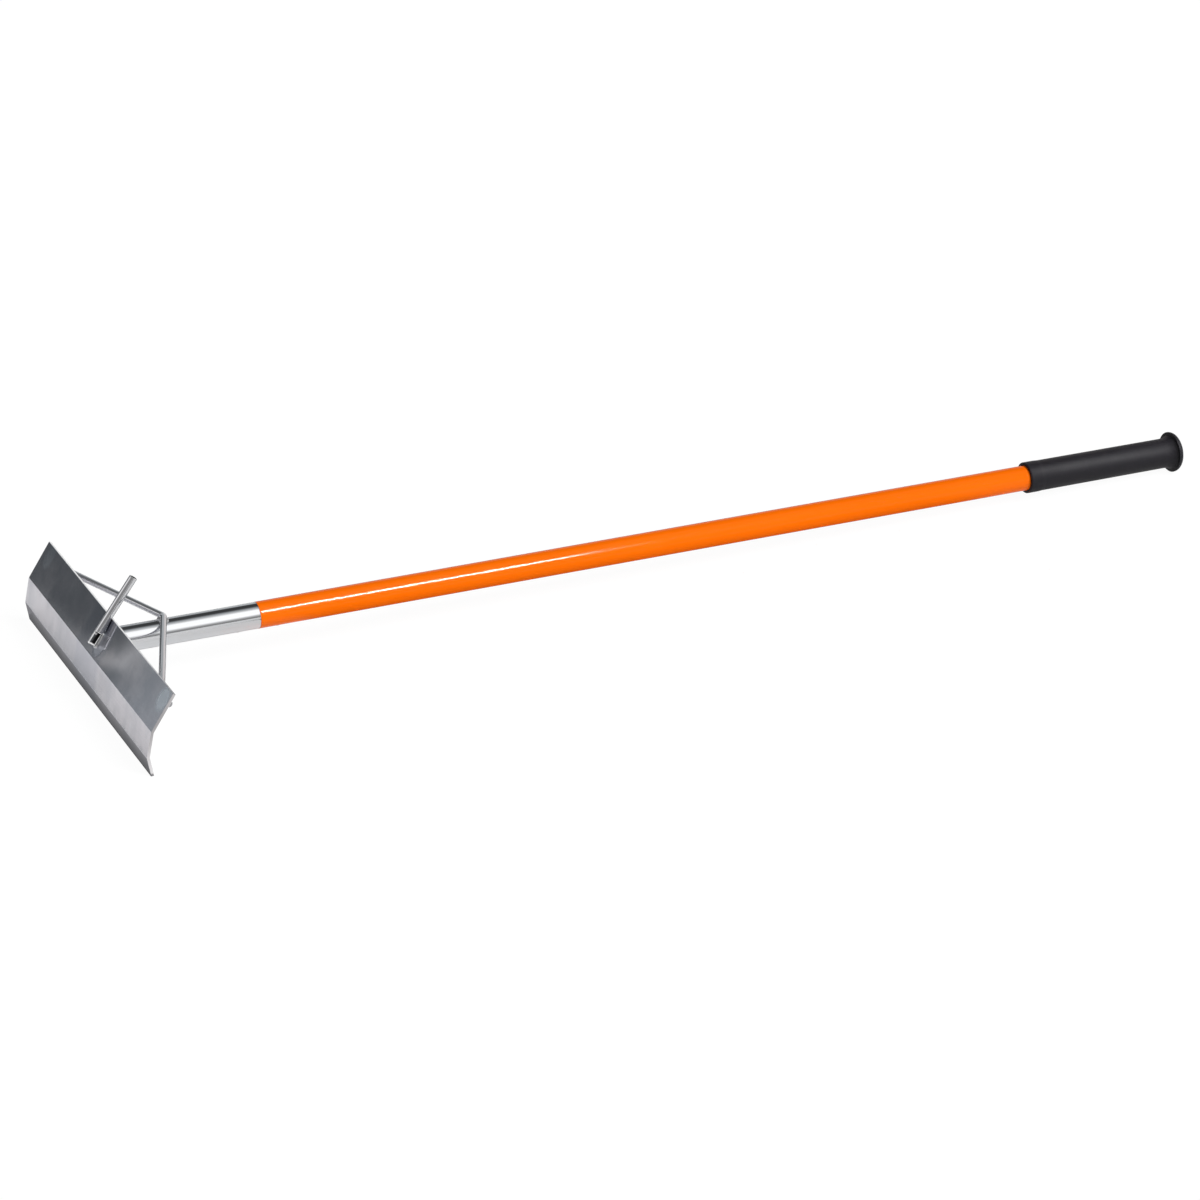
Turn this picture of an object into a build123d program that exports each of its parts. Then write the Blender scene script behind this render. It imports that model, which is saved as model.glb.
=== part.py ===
from build123d import *
import os
from math import acos, atan2, cos, hypot, radians, sin, sqrt

# Concrete rake: a bent blade, a braced socket tube, a mesh hook, a sleeved handle and a grip.
# It lies as it is put down on a floor, on the blade's lip and the grip's flared end.
# Origin: middle of the lip's ground edge. X along the blade, Y towards the grip, Z up.
# Millimetres and degrees.

# Blade plate: strips are measured up its front, and lean from upright towards the handle
blade_length = 500.0
plate = 4.0
lip_height = 27.2
middle_height = 35.1
top_height = 57.3
lip_lean = -8.5
middle_lean = 12.2
top_lean = 34.0
bend_radius = 4.0
edge_round = 0.5

# Socket tube and handle: reaches are measured along the handle from the blade's front
socket_rise = 11.5
socket_reach = 227.5
tube_diameter = 35.5
tube_wall = 2.0
sleeve_wall = 0.2
sleeve_shown = 1170.0
socket_weld_leg = 4.0

# Joint between socket tube and handle tube
spigot_length = 120.0
spigot_wall = 2.0
spigot_clearance = 0.1
rivet_from_joint = 28.0
rivet_wall = 1.05
rivet_clearance = 0.05
rivet_brim = 2.35
rivet_head_height = 1.6
rivet_tail_swell = 0.9
rivet_tail_length = 3.5
mandrel_diameter = 2.6
mandrel_recess = 0.8
mandrel_head_rim = 0.8
mandrel_head_length = 2.0

# Brace rod: its legs cross over the tube, and its feet lie along the blade's back
rod_diameter = 9.0
brace_apex_reach = 99.2
brace_foot_margin = 10.0
brace_foot_length = 30.0
brace_foot_height = 40.0
brace_bend_radius = 15.0
rod_end_chamfer = 0.8
bead_radius = 2.4
apex_bead_length = 15.0
foot_bead_inset = 4.0

# Mesh hook: a tube along the blade's front, its lower end cut open on the right
hook_diameter = 11.0
hook_wall = 1.5
hook_side = 12.5
hook_foot_height = 15.0
hook_length = 104.0
hook_foot_gap = 2.4
hook_rim_round = 0.5
opening_length = 18.5
opening_face = 0.8
foot_wall = 1.5
hook_weld_length = 25.0
hook_weld_leg = 3.2
hook_weld_taper = 40.0

# Grip: rises are measured out from its body at the mouth end
grip_length = 253.0
grip_wall = 3.85
grip_taper = 0.35
collar_length = 18.0
collar_step = 6.0
collar_rise = 0.5
mouth_round = 1.5
trumpet_length = 14.0
trumpet_rise = 3.4
flare_rise = 7.3
flare_width = 9.1
flare_round = 8.0
flare_edge_round = 0.6
grip_end_wall = 4.0

# Air left between pieces that touch
touch = 0.05

# Sizes that follow
tube_radius = tube_diameter / 2
bore_radius = tube_radius - tube_wall
sleeve_bore = tube_radius + touch
handle_radius = sleeve_bore + sleeve_wall
rod_radius = rod_diameter / 2
hook_radius = hook_diameter / 2
grip_bore = handle_radius + touch
grip_radius = grip_bore + grip_wall
flare_radius = grip_radius + flare_rise
spigot_radius = bore_radius - spigot_clearance
spigot_bore_radius = spigot_radius - spigot_wall
grip_start = socket_reach + sleeve_shown
grip_end = grip_start + grip_length
flare_start = grip_end - flare_width
round_centre = grip_end - flare_round
round_centre_radius = flare_radius - flare_round
along_blade = Vector(1, 0, 0)


def up_strip(lean):
    """Direction up a strip of the blade that leans by this angle."""
    return Vector(0, sin(radians(lean)), cos(radians(lean)))


def strip_front(foot, lean):
    """Front of a strip: local X along the blade, Y up the strip, Z out of its front."""
    return Plane(origin=foot, x_dir=along_blade, z_dir=along_blade.cross(up_strip(lean)))


# Side view of the blade's front, from the ground edge to the top edge
ground_front = Vector(0, -plate / cos(radians(lip_lean)) / 2, 0)
lower_bend = ground_front + up_strip(lip_lean) * lip_height
upper_bend = lower_bend + up_strip(middle_lean) * middle_height
top_edge = upper_bend + up_strip(top_lean) * top_height
below_ground = ground_front - up_strip(lip_lean) * plate
top_front = strip_front(upper_bend, top_lean)
top_back = top_front.offset(-plate)
middle_back = strip_front(lower_bend, middle_lean).offset(-plate)

# The handle falls towards the grip by the angle that sets the grip's round end on the floor
handle_entry = upper_bend + up_strip(top_lean) * socket_rise
round_distance = hypot(round_centre, round_centre_radius)
droop = atan2(round_centre, round_centre_radius) - acos((handle_entry.Z - flare_round) / round_distance)
along_handle = Vector(0, cos(droop), -sin(droop))
above_handle = Vector(0, sin(droop), cos(droop))
handle_plane = Plane(origin=handle_entry, x_dir=along_blade, z_dir=along_handle)
handle_section = Plane(origin=handle_entry, x_dir=along_blade, z_dir=above_handle)
handle_axis = Axis(handle_entry, along_handle)


def on_handle(reach, height=0.0):
    """Point at a reach along the handle and a height above its axis."""
    return handle_entry + along_handle * reach + above_handle * height


def rivet_plane(reach):
    """Plane across a rivet: on the handle's axis, facing down out of the underside."""
    return Plane(origin=on_handle(reach), x_dir=along_blade, z_dir=-above_handle)


def half_bead(centre, facing, length):
    """Half the outline of a round-ended weld bead along the blade, to be turned about its straight side."""
    with BuildSketch(Plane(origin=centre, x_dir=along_blade, z_dir=facing)) as outline:
        SlotOverall(length, 2 * bead_radius)
        Rectangle(length, bead_radius, align=(Align.CENTER, Align.MAX), mode=Mode.SUBTRACT)
    return outline.sketch


# Rivets: one each side of the joint, their heads on the bare tube and on the sleeve
socket_rivet_reach = socket_reach - rivet_from_joint
handle_rivet_reach = socket_reach + rivet_from_joint
rivet_places = ((socket_rivet_reach, tube_radius), (handle_rivet_reach, handle_radius))
mandrel_radius = mandrel_diameter / 2
rivet_bore_radius = mandrel_radius + touch
rivet_radius = rivet_bore_radius + rivet_wall
rivet_hole_radius = rivet_radius + rivet_clearance

os.makedirs("parts", exist_ok=True)

# Blade: one plate bent twice along its length, its lip cut level with the floor
with BuildPart() as blade:
    with BuildSketch(Plane.YZ):
        with BuildLine():
            FilletPolyline(
                [(p.Y, p.Z) for p in (below_ground, lower_bend, upper_bend, top_edge)],
                radius=bend_radius + plate,
            )
            offset(amount=plate, side=Side.RIGHT)
        make_face()
    extrude(amount=blade_length / 2, both=True)
    split(bisect_by=Plane.XY, keep=Keep.TOP)
    ground_edges = blade.faces().sort_by(Axis.Z)[0].edges().filter_by(Axis.X)
    top_faces = blade.faces().filter_by(Plane(top_edge, z_dir=up_strip(top_lean)))
    top_edges = top_faces.edges().filter_by(Axis.X)
    end_edges = blade.faces().filter_by(Axis.X).edges()
    fillet(ground_edges + top_edges + end_edges, radius=edge_round)
blade.part.label = "blade"
export_step(blade.part, "parts/blade.step")

# Socket tube: cut to the blade's back across the upper bend
with BuildPart() as socket_tube:
    with BuildSketch(handle_plane.offset(-tube_diameter)):
        Circle(tube_radius)
        Circle(bore_radius, mode=Mode.SUBTRACT)
    extrude(amount=tube_diameter + socket_reach)
    split(bisect_by=top_back.offset(-touch), keep=Keep.BOTTOM)
    split(bisect_by=middle_back.offset(-touch), keep=Keep.BOTTOM)
    add(blade.part, mode=Mode.SUBTRACT)
    with BuildSketch(rivet_plane(socket_rivet_reach)):
        Circle(rivet_hole_radius)
    extrude(amount=tube_diameter, mode=Mode.SUBTRACT)
socket_tube.part.label = "socket_tube"
export_step(socket_tube.part, "parts/socket_tube.step")


def axis_crossing(plane):
    """Where the handle's axis meets a plane, in that plane's own coordinates."""
    reach = (plane.origin - handle_entry).dot(plane.z_dir) / along_handle.dot(plane.z_dir)
    crossing = plane.to_local_coords(on_handle(reach))
    return (crossing.X, crossing.Y)


# Socket weld: a sloping fillet round the tube on each of the two strips it meets
with BuildPart() as socket_weld:
    for back in (top_back, middle_back):
        slant = abs(along_handle.dot(back.z_dir))
        for level, leg in ((0.0, socket_weld_leg), (socket_weld_leg, touch)):
            section = back.offset(-level)
            with BuildSketch(section):
                with Locations(axis_crossing(section)):
                    Ellipse(tube_radius + leg, tube_radius / slant + leg)
        loft()
    split(bisect_by=top_back, keep=Keep.BOTTOM)
    split(bisect_by=middle_back, keep=Keep.BOTTOM)
    add(blade.part, mode=Mode.SUBTRACT)
    with BuildSketch(handle_plane.offset(-tube_diameter)):
        Circle(tube_radius)
    extrude(amount=tube_diameter + socket_reach, mode=Mode.SUBTRACT)
socket_weld.part.label = "socket_weld"
export_step(socket_weld.part, "parts/socket_weld.step")

# Brace rod: bent flat, in the plane through the feet and the crossing above the tube
brace_crossing = on_handle(brace_apex_reach, tube_radius + rod_radius + touch)
brace_foot = top_front.from_local_coords(Vector(0, brace_foot_height, -plate - rod_radius - touch))
brace_run = brace_crossing - brace_foot
brace_plane = Plane(origin=brace_foot, x_dir=along_blade, z_dir=along_blade.cross(brace_run))
foot_end = blade_length / 2 - brace_foot_margin
foot_bend = foot_end - brace_foot_length
leg_angle = atan2(brace_run.length, foot_bend)
apex_sagitta = brace_bend_radius * (1 / cos(leg_angle) - 1)

with BuildPart() as brace_rod:
    with BuildLine(brace_plane) as brace_path:
        FilletPolyline(
            (-foot_end, 0),
            (-foot_bend, 0),
            (0, brace_run.length),
            (foot_bend, 0),
            (foot_end, 0),
            radius=brace_bend_radius,
        )
    with BuildSketch(Plane(origin=brace_path.line @ 0, z_dir=brace_path.line % 0)):
        Circle(rod_radius)
    sweep()
    chamfer(brace_rod.faces().filter_by(Axis.X).edges(), length=rod_end_chamfer)
brace_rod.part.label = "brace_rod"
export_step(brace_rod.part, "parts/brace_rod.step")

# Apex weld: a round-ended bead before the rod and one behind it, where it crosses the tube
apex_reach = brace_apex_reach - apex_sagitta
with BuildPart() as brace_apex_weld:
    for side in (-1, 1):
        bead_centre = on_handle(apex_reach + side * rod_radius, tube_radius + bead_radius / 2)
        outline = half_bead(bead_centre, above_handle, apex_bead_length)
        revolve(outline, axis=Axis(bead_centre, along_blade))
    add(brace_rod.part, mode=Mode.SUBTRACT)
    with BuildSketch(handle_plane):
        Circle(tube_radius)
    extrude(amount=socket_reach, mode=Mode.SUBTRACT)
brace_apex_weld.part.label = "brace_apex_weld"
export_step(brace_apex_weld.part, "parts/brace_apex_weld.step")

# Foot welds: beads above and below each foot of the rod, on the blade's back
foot_bead_length = brace_foot_length - foot_bead_inset
foot_bead_middle = foot_bend + brace_foot_length / 2
for side, hand in ((-1, "left"), (1, "right")):
    with BuildPart() as brace_foot_weld:
        for above in (-1, 1):
            bead_height = brace_foot_height + above * rod_radius
            bead_centre = top_back.from_local_coords(
                Vector(side * foot_bead_middle, bead_height, -bead_radius / 2)
            )
            outline = half_bead(bead_centre, top_back.z_dir, foot_bead_length)
            revolve(outline, axis=Axis(bead_centre, along_blade))
        add(brace_rod.part, mode=Mode.SUBTRACT)
        add(blade.part, mode=Mode.SUBTRACT)
    brace_foot_weld.part.label = f"brace_foot_weld_{hand}"
    export_step(brace_foot_weld.part, f"parts/brace_foot_weld_{hand}.step")

# Hook: its foot stands a little off the blade, and the tube leans back on the blade's top edge
foot_out = hook_radius + hook_foot_gap
hook_foot = top_front.from_local_coords(Vector(hook_side, hook_foot_height, foot_out))
hook_rest = top_front.from_local_coords(Vector(hook_side, top_height, hook_radius + touch))
hook_plane = Plane(origin=hook_foot, x_dir=along_blade, z_dir=hook_rest - hook_foot)
opening_plane = Plane(origin=hook_foot, x_dir=hook_plane.z_dir, z_dir=along_blade)

with BuildPart() as hook_tube:
    with BuildSketch(hook_plane):
        Circle(hook_radius)
    extrude(amount=hook_length)
    with BuildSketch(hook_plane.offset(foot_wall)):
        Circle(hook_radius - hook_wall)
    extrude(amount=hook_length, mode=Mode.SUBTRACT)
    hook_mouth = hook_tube.faces().filter_by(GeomType.PLANE).sort_by(Axis.Z)[-1]
    fillet(hook_mouth.edges(), radius=hook_rim_round)
    with BuildSketch(opening_plane.offset(opening_face)):
        Rectangle(2 * opening_length, 2 * hook_diameter)
    extrude(amount=hook_diameter, mode=Mode.SUBTRACT)
hook_tube.part.label = "hook_tube"
export_step(hook_tube.part, "parts/hook_tube.step")

# Hook weld: a sloping fillet under and beside the hook's foot
with BuildPart() as hook_weld:
    with BuildSketch(top_front):
        with Locations((hook_side, hook_foot_height - hook_weld_leg + hook_weld_length / 2)):
            SlotOverall(hook_weld_length, hook_diameter, rotation=90)
    extrude(amount=hook_weld_leg, taper=hook_weld_taper)
    with BuildSketch(hook_plane):
        Circle(hook_radius)
    extrude(amount=hook_length, mode=Mode.SUBTRACT)
hook_weld.part.label = "hook_weld"
export_step(hook_weld.part, "parts/hook_weld.step")

# Handle: the socket's tube stock inside a thin orange sleeve, both up to the grip's end wall
handle_length = grip_end - grip_end_wall - touch - socket_reach
with BuildPart() as handle_tube:
    with BuildSketch(handle_plane.offset(socket_reach)):
        Circle(tube_radius)
        Circle(bore_radius, mode=Mode.SUBTRACT)
    extrude(amount=handle_length)
    with BuildSketch(rivet_plane(handle_rivet_reach)):
        Circle(rivet_hole_radius)
    extrude(amount=tube_diameter, mode=Mode.SUBTRACT)
handle_tube.part.label = "handle_tube"
export_step(handle_tube.part, "parts/handle_tube.step")

with BuildPart() as handle_sleeve:
    with BuildSketch(handle_plane.offset(socket_reach)):
        Circle(handle_radius)
        Circle(sleeve_bore, mode=Mode.SUBTRACT)
    extrude(amount=handle_length)
    with BuildSketch(rivet_plane(handle_rivet_reach)):
        Circle(rivet_hole_radius)
    extrude(amount=tube_diameter, mode=Mode.SUBTRACT)
handle_sleeve.part.label = "handle_sleeve"
export_step(handle_sleeve.part, "parts/handle_sleeve.step")

# Spigot: the sleeve inside both tubes
with BuildPart() as joint_spigot:
    with BuildSketch(handle_plane.offset(socket_reach - spigot_length / 2)):
        Circle(spigot_radius)
        Circle(spigot_bore_radius, mode=Mode.SUBTRACT)
    extrude(amount=spigot_length)
    for reach in (socket_rivet_reach, handle_rivet_reach):
        with BuildSketch(rivet_plane(reach)):
            Circle(rivet_hole_radius)
        extrude(amount=tube_diameter, mode=Mode.SUBTRACT)
joint_spigot.part.label = "joint_spigot"
export_step(joint_spigot.part, "parts/joint_spigot.step")

# Rivets: a domed head on the tube's underside, a shank, and a tail swollen inside the spigot
tail_radius = rivet_radius + rivet_tail_swell
tail_top = sqrt(spigot_bore_radius**2 - tail_radius**2) - touch
tail_bottom = tail_top - rivet_tail_length
head_radius = rivet_radius + rivet_brim
dome_radius = (head_radius**2 + rivet_head_height**2) / (2 * rivet_head_height)
corner = (Align.MIN, Align.MIN)
with BuildPart() as joint_rivets:
    for reach, outside in rivet_places:
        head_seat = outside + touch
        head_top = head_seat + rivet_head_height
        with BuildSketch(handle_plane.offset(reach)):
            with Locations((0, head_top - dome_radius)):
                Circle(dome_radius)
            with Locations((0, head_seat)):
                Rectangle(head_radius, rivet_head_height, align=corner, mode=Mode.INTERSECT)
            with Locations((0, tail_bottom)):
                Rectangle(rivet_radius, head_seat - tail_bottom, align=corner)
                Rectangle(tail_radius, rivet_tail_length, align=corner)
                Rectangle(rivet_bore_radius, head_top - tail_bottom, align=corner, mode=Mode.SUBTRACT)
        revolve(axis=Axis(on_handle(reach), above_handle))
joint_rivets.part.label = "joint_rivets"
export_step(joint_rivets.part, "parts/joint_rivets.step")

# Mandrels: the broken pins left in the rivets, each with its head behind the tail
with BuildPart() as rivet_mandrels:
    for reach, outside in rivet_places:
        head_start = tail_bottom - touch - mandrel_head_length
        with BuildSketch(rivet_plane(reach).offset(head_start)):
            Circle(mandrel_radius + mandrel_head_rim)
        extrude(amount=mandrel_head_length)
        with BuildSketch(rivet_plane(reach).offset(head_start)):
            Circle(mandrel_radius)
        extrude(amount=outside + rivet_head_height - mandrel_recess - head_start)
rivet_mandrels.part.label = "rivet_mandrels"
export_step(rivet_mandrels.part, "parts/rivet_mandrels.step")

# Grip: a sleeve with a rounded collar, a trumpet and a round-backed disc
collar_radius = grip_radius + collar_rise
mouth_radius = min(mouth_round, grip_wall)
collar_end = grip_start + collar_length
trumpet_start = flare_start - trumpet_length
trumpet_radius = grip_radius + trumpet_rise
with BuildPart() as grip:
    with BuildSketch(handle_section):
        with BuildLine():
            mouth = Polyline(
                (0, grip_end),
                (0, grip_end - grip_end_wall),
                (grip_bore, grip_end - grip_end_wall),
                (grip_bore, grip_start),
                (collar_radius - mouth_radius, grip_start),
            )
            RadiusArc(mouth @ 1, (collar_radius, grip_start + mouth_radius), -mouth_radius)
            body = Polyline(
                (collar_radius, grip_start + mouth_radius),
                (collar_radius, collar_end),
                (grip_radius, collar_end + collar_step),
                (grip_radius - grip_taper, trumpet_start),
            )
            trumpet = TangentArc(body @ 1, (trumpet_radius, flare_start), tangent=body % 1)
            disc_front = Line(trumpet @ 1, (flare_radius - flare_edge_round, flare_start))
            disc_edge = TangentArc(
                disc_front @ 1, (flare_radius, flare_start + flare_edge_round), tangent=disc_front % 1
            )
            disc_rim = Line(disc_edge @ 1, (flare_radius, round_centre))
            disc_back = TangentArc(disc_rim @ 1, (round_centre_radius, grip_end), tangent=disc_rim % 1)
            Line(disc_back @ 1, mouth @ 0)
        make_face()
    revolve(axis=handle_axis)
grip.part.label = "grip"
export_step(grip.part, "parts/grip.step")
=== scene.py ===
"""Concrete rake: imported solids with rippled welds, drawn tubes, a glossy sleeve and a rubber grip."""
from math import acos, atan2, ceil, cos, hypot, pi, radians, sin, sqrt

import bpy
import bmesh
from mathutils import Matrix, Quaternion, Vector


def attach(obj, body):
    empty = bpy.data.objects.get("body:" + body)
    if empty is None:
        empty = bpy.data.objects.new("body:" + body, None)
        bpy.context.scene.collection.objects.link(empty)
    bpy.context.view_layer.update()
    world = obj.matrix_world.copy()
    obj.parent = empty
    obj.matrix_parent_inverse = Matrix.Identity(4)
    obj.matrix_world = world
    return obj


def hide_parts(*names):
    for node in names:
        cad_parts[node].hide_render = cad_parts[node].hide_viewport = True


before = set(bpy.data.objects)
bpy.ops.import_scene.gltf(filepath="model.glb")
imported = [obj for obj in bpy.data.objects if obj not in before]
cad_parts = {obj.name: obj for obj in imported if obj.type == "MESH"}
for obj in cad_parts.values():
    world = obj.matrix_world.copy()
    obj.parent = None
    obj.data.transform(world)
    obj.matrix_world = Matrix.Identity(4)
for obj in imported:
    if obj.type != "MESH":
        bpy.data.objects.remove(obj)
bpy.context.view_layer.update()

# Drawing sizes are millimetres and degrees, as in the part's source
MM = 0.001

# Blade plate
blade_length = 500.0
plate = 4.0
lip_height = 27.2
middle_height = 35.1
top_height = 57.3
lip_lean = -8.5
middle_lean = 12.2
top_lean = 34.0

# Socket tube and handle
socket_rise = 11.5
socket_reach = 227.5
tube_radius = 17.75
tube_bore = 15.75
tube_end_round = 0.4
sleeve_bore = 17.8
sleeve_radius = 18.0
sleeve_end_round = 0.15
sleeve_shown = 1170.0
touch = 0.05

# Brace rod
rod_radius = 4.5
brace_apex_reach = 99.2
foot_end = 240.0
foot_bend = 210.0
brace_foot_height = 40.0
brace_bend_radius = 15.0
rod_end_chamfer = 0.8

# Mesh hook
hook_radius = 5.5
hook_wall = 1.5
hook_side = 12.5
hook_foot_height = 15.0
hook_length = 104.0
hook_foot_gap = 2.4
hook_rim_round = 0.5
hook_bore = hook_radius - hook_wall
opening_length = 18.5
opening_face = 0.8
foot_wall = 1.5
drop_height = 15.6
drop_depth = -2.0
drop_radius = 1.9
drop_sink = 0.4
foot_chamfer = 0.3

# Grip
grip_length = 253.0
grip_bore = 18.05
grip_radius = 21.9
grip_taper = 0.35
collar_length = 18.0
collar_step = 6.0
collar_rise = 0.5
mouth_round = 1.5
trumpet_length = 14.0
trumpet_rise = 3.4
flare_rise = 7.3
flare_width = 9.1
flare_round = 8.0
flare_edge_round = 0.6
grip_end_wall = 4.0
bore_end_round = 0.5
bore_mouth_round = 0.6
collar_round = 4.0
collar_step_round = 6.0

# Weld beads
fine_pitch = 2.0
socket_bead_radius = 3.6
socket_bead_pitch = 2.6
socket_bead_sink = 0.3
apex_bead_radius = 2.5
apex_bead_pitch = 2.2
apex_bead_length = 15.0
apex_bead_lift = 0.7
foot_bead_radius = 2.6
foot_bead_length = 26.0
foot_bead_lift = 1.0
hook_bead_radius = 1.7
hook_bead_lift = 0.8
hook_weld_length = 25.0
hook_weld_leg = 3.2

# Fineness of the meshes
tube_segments = 96
smooth_segments = 128
rod_segments = 40
hook_segments = 176
bead_segments = 20
ring_step = 0.25
sharp_edge = 32.0

# Places that follow from the sizes
across = Vector((1, 0, 0))


def up_strip(lean):
    """Direction up a strip of the blade that leans by this angle."""
    return Vector((0, sin(radians(lean)), cos(radians(lean))))


def out_of_strip(lean):
    """Direction straight out of a strip's front."""
    return across.cross(up_strip(lean))


ground_front = Vector((0, -plate / cos(radians(lip_lean)) / 2, 0))
lower_bend = ground_front + up_strip(lip_lean) * lip_height
upper_bend = lower_bend + up_strip(middle_lean) * middle_height
handle_entry = upper_bend + up_strip(top_lean) * socket_rise
grip_start = socket_reach + sleeve_shown
grip_end = grip_start + grip_length
flare_start = grip_end - flare_width
flare_radius = grip_radius + flare_rise
round_centre = grip_end - flare_round
round_centre_radius = flare_radius - flare_round
round_distance = hypot(round_centre, round_centre_radius)
droop = atan2(round_centre, round_centre_radius) - acos((handle_entry.z - flare_round) / round_distance)
along = Vector((0, cos(droop), -sin(droop)))
above = Vector((0, sin(droop), cos(droop)))


def on_handle(reach, height=0.0):
    """Point at a reach along the handle and a height above its axis."""
    return handle_entry + along * reach + above * height


def on_top_strip(side, height, out):
    """Point on the blade's top strip: to the side, up the strip and out of its front."""
    return upper_bend + across * side + up_strip(top_lean) * height + out_of_strip(top_lean) * out


class Field:
    """One output socket of a node tree: sums on it add their Math nodes."""

    def __init__(self, finish, socket):
        self.finish = finish
        self.socket = socket

    def math(self, operation, first, second):
        return self.finish.node("ShaderNodeMath", {"operation": operation}, {0: first, 1: second})

    def __add__(self, other):
        return self.math("ADD", self, other)

    def __sub__(self, other):
        return self.math("SUBTRACT", self, other)

    def __rsub__(self, other):
        return self.math("SUBTRACT", other, self)

    def __mul__(self, other):
        return self.math("MULTIPLY", self, other)

    def __truediv__(self, other):
        return self.math("DIVIDE", self, other)

    def __rtruediv__(self, other):
        return self.math("DIVIDE", other, self)

    def __pow__(self, other):
        return self.math("POWER", self, other)

    def __abs__(self):
        return self.math("ABSOLUTE", self, 0.0)

    __radd__ = __add__
    __rmul__ = __mul__

    def larger(self, other):
        return self.math("MAXIMUM", self, other)

    def ease(self, start, end):
        """0 at start, 1 at end, smooth between."""
        limits = {"Value": self, "From Min": start, "From Max": end}
        return self.finish.node("ShaderNodeMapRange", {"interpolation_type": "SMOOTHSTEP"}, limits)


class Finish:
    """A node tree and the one way its nodes are made."""

    def __init__(self, owner):
        owner.use_nodes = True
        self.owner = owner
        self.tree = owner.node_tree
        self.tree.nodes.clear()

    def node(self, kind, settings=None, sockets=None, out=0):
        made = self.tree.nodes.new(kind)
        for name, value in (settings or {}).items():
            setattr(made, name, value)
        for name, value in (sockets or {}).items():
            if isinstance(value, Field):
                self.tree.links.new(value.socket, made.inputs[name])
            else:
                made.inputs[name].default_value = value
        return Field(self, made.outputs[out]) if made.outputs else None

    def mix(self, factor, first, second):
        """Colour between two colours."""
        sockets = {0: factor, 6: colour(first), 7: colour(second)}
        return self.node("ShaderNodeMix", {"data_type": "RGBA"}, sockets, out=2)

    def place(self):
        """Position on the object, in metres."""
        return self.node("ShaderNodeTexCoord", out="Object")

    def along_and_around(self):
        """Position along and around a piece, in metres."""
        return self.node("ShaderNodeUVMap", {"uv_map": "grain"})

    def stretched(self, vector, scale):
        return self.node("ShaderNodeVectorMath", {"operation": "MULTIPLY"}, {0: vector, 1: scale})

    def dot(self, vector, direction):
        """How far a vector goes in a direction."""
        sockets = {0: vector, 1: direction}
        return self.node("ShaderNodeVectorMath", {"operation": "DOT_PRODUCT"}, sockets, out="Value")

    def noise(self, vector, scale=1.0, detail=2.0, roughness=0.5):
        sockets = {"Vector": vector, "Scale": scale, "Detail": detail, "Roughness": roughness}
        return self.node("ShaderNodeTexNoise", None, sockets)

    def axes(self, vector):
        """The three numbers of a vector."""
        split = self.tree.nodes.new("ShaderNodeSeparateXYZ")
        self.tree.links.new(vector.socket, split.inputs[0])
        return [Field(self, socket) for socket in split.outputs]

    def bump(self, height):
        """Normal that follows a height in metres."""
        return self.node("ShaderNodeBump", None, {"Strength": 1.0, "Distance": 1.0, "Height": height})

    def show(self, shader):
        self.node("ShaderNodeOutputMaterial", None, {"Surface": shader})
        return self.owner


def colour(value):
    """A colour socket's value: links as they are, numbers with full alpha."""
    return value if isinstance(value, Field) else (*value, 1.0)


def new_finish(name):
    return Finish(bpy.data.materials.new(name))


def metal(finish, base, roughness, normal, metallic=1.0):
    sockets = {"Base Color": base, "Metallic": metallic, "Roughness": roughness, "Normal": normal}
    return finish.show(finish.node("ShaderNodeBsdfPrincipled", None, sockets))


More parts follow.
